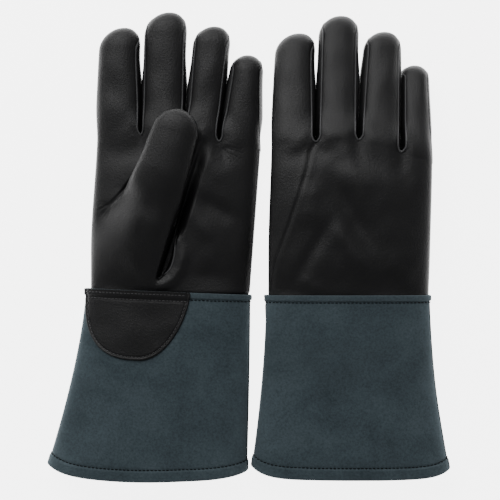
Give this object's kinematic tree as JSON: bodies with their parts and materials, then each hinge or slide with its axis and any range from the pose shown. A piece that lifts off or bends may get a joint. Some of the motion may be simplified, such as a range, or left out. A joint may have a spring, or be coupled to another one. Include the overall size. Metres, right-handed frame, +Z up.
{
  "type": "pair of welding gloves",
  "caption": "Gauntlet welding gloves: black grain-leather hands with sewn fingers and folded-in thumbs, flared slate suede cuffs with stitched hems.",
  "frame": {"origin": "middle of the pair's footprint, on the table", "axes": "+X across the pair from the left glove to the right, +Y from the cuffs to the fingertips, +Z up"},
  "size_m": [0.3021, 0.3503, 0.049],
  "materials": {
    "black_grain_leather": "smooth grain leather, satin",
    "slate_suede": "suede split leather, matte and slightly mottled",
    "cotton_lining": "brushed cotton, matte",
    "black_thread": "sewing thread, matte"
  },
  "bodies": {
    "left_hand": {"left_palm_leather": "black_grain_leather", "left_back_leather": "black_grain_leather", "left_hand_lining": "cotton_lining", "left_thumb_root": "black_grain_leather"},
    "left_cuff": {"left_cuff_palm_side": "slate_suede", "left_cuff_back_side": "slate_suede", "left_cuff_lining": "cotton_lining", "left_hem_facing": "slate_suede", "left_cuff_welt": "slate_suede", "left_hem_thread": "black_thread", "left_wrist_thread": "black_thread", "left_pulse_patch": "black_grain_leather", "left_patch_thread": "black_thread"},
    "left_thumb": {"left_thumb_front": "black_grain_leather", "left_thumb_back": "black_grain_leather"},
    "left_index": {"left_index_leather": "black_grain_leather", "left_index_fourchette": "black_grain_leather"},
    "left_middle": {"left_middle_front": "black_grain_leather", "left_middle_back": "black_grain_leather", "left_middle_fourchette_thumb_side": "black_grain_leather", "left_middle_fourchette_little_side": "black_grain_leather"},
    "left_ring": {"left_ring_front": "black_grain_leather", "left_ring_back": "black_grain_leather", "left_ring_fourchette_thumb_side": "black_grain_leather", "left_ring_fourchette_little_side": "black_grain_leather"},
    "left_little": {"left_little_front": "black_grain_leather", "left_little_back": "black_grain_leather", "left_little_fourchette": "black_grain_leather"},
    "right_hand": {"right_palm_leather": "black_grain_leather", "right_back_leather": "black_grain_leather", "right_hand_lining": "cotton_lining", "right_thumb_root": "black_grain_leather"},
    "right_cuff": {"right_cuff_palm_side": "slate_suede", "right_cuff_back_side": "slate_suede", "right_cuff_lining": "cotton_lining", "right_hem_facing": "slate_suede", "right_cuff_welt": "slate_suede", "right_hem_thread": "black_thread", "right_wrist_thread": "black_thread", "right_pulse_patch": "black_grain_leather", "right_patch_thread": "black_thread"},
    "right_thumb": {"right_thumb_front": "black_grain_leather", "right_thumb_back": "black_grain_leather"},
    "right_index": {"right_index_leather": "black_grain_leather", "right_index_fourchette": "black_grain_leather"},
    "right_middle": {"right_middle_front": "black_grain_leather", "right_middle_back": "black_grain_leather", "right_middle_fourchette_thumb_side": "black_grain_leather", "right_middle_fourchette_little_side": "black_grain_leather"},
    "right_ring": {"right_ring_front": "black_grain_leather", "right_ring_back": "black_grain_leather", "right_ring_fourchette_thumb_side": "black_grain_leather", "right_ring_fourchette_little_side": "black_grain_leather"},
    "right_little": {"right_little_front": "black_grain_leather", "right_little_back": "black_grain_leather", "right_little_fourchette": "black_grain_leather"}
  },
  "joints": [
    {"name": "left_index_knuckle", "type": "hinge", "parent": "left_hand", "child": "left_index", "pos_m": [-0.0978, 0.0896, 0.0156], "axis": [0.9994, 0.0345, 0], "range_deg": [-8, 60]},
    {"name": "left_middle_knuckle", "type": "hinge", "parent": "left_hand", "child": "left_middle", "pos_m": [-0.0647, 0.0916, 0.0156], "axis": [0.9993, 0.0382, 0], "range_deg": [-8, 30]},
    {"name": "left_ring_knuckle", "type": "hinge", "parent": "left_hand", "child": "left_ring", "pos_m": [-0.03555, 0.0891, 0.0156], "axis": [0.988, -0.1543, 0], "range_deg": [-8, 30]},
    {"name": "left_little_knuckle", "type": "hinge", "parent": "left_hand", "child": "left_little", "pos_m": [-0.0068, 0.0831, 0.0156], "axis": [0.9952, -0.0976, 0], "range_deg": [-8, 60]},
    {"name": "left_thumb_lift", "type": "hinge", "parent": "left_hand", "child": "left_thumb", "pos_m": [-0.08417, 0.01515, 0.0476], "axis": [0.9618, -0.2739, 0], "range_deg": [0, 45]},
    {"name": "left_wrist_fold", "type": "hinge", "parent": "left_hand", "child": "left_cuff", "pos_m": [-0.0619, -0.0328, 0.0109], "axis": [-0.9986, 0.0522, 0], "range_deg": [-20, 20]},
    {"name": "gloves_apart", "type": "slide", "parent": "left_hand", "child": "right_hand", "axis": [1, 0, 0], "range_m": [0, 0.2]},
    {"name": "right_index_knuckle", "type": "hinge", "parent": "right_hand", "child": "right_index", "pos_m": [0.0317, 0.08435, 0.0216], "axis": [-0.9999, -0.0125, 0], "range_deg": [-8, 38]},
    {"name": "right_middle_knuckle", "type": "hinge", "parent": "right_hand", "child": "right_middle", "pos_m": [0.06405, 0.08535, 0.0216], "axis": [-0.9997, -0.0251, 0], "range_deg": [-8, 38]},
    {"name": "right_ring_knuckle", "type": "hinge", "parent": "right_hand", "child": "right_ring", "pos_m": [0.09515, 0.08155, 0.0216], "axis": [-0.9856, 0.1692, 0], "range_deg": [-8, 38]},
    {"name": "right_little_knuckle", "type": "hinge", "parent": "right_hand", "child": "right_little", "pos_m": [0.12285, 0.07505, 0.0216], "axis": [-0.9949, 0.1007, 0], "range_deg": [-8, 38]},
    {"name": "right_thumb_lift", "type": "hinge", "parent": "right_hand", "child": "right_thumb", "pos_m": [0.05343, 0.00747, 0.0016], "axis": [-0.8933, 0.4494, 0], "range_deg": [0, 45]},
    {"name": "right_wrist_fold", "type": "hinge", "parent": "right_hand", "child": "right_cuff", "pos_m": [0.073, -0.0354, 0.0265], "axis": [1, 0, 0], "range_deg": [-20, 20]}
  ]
}
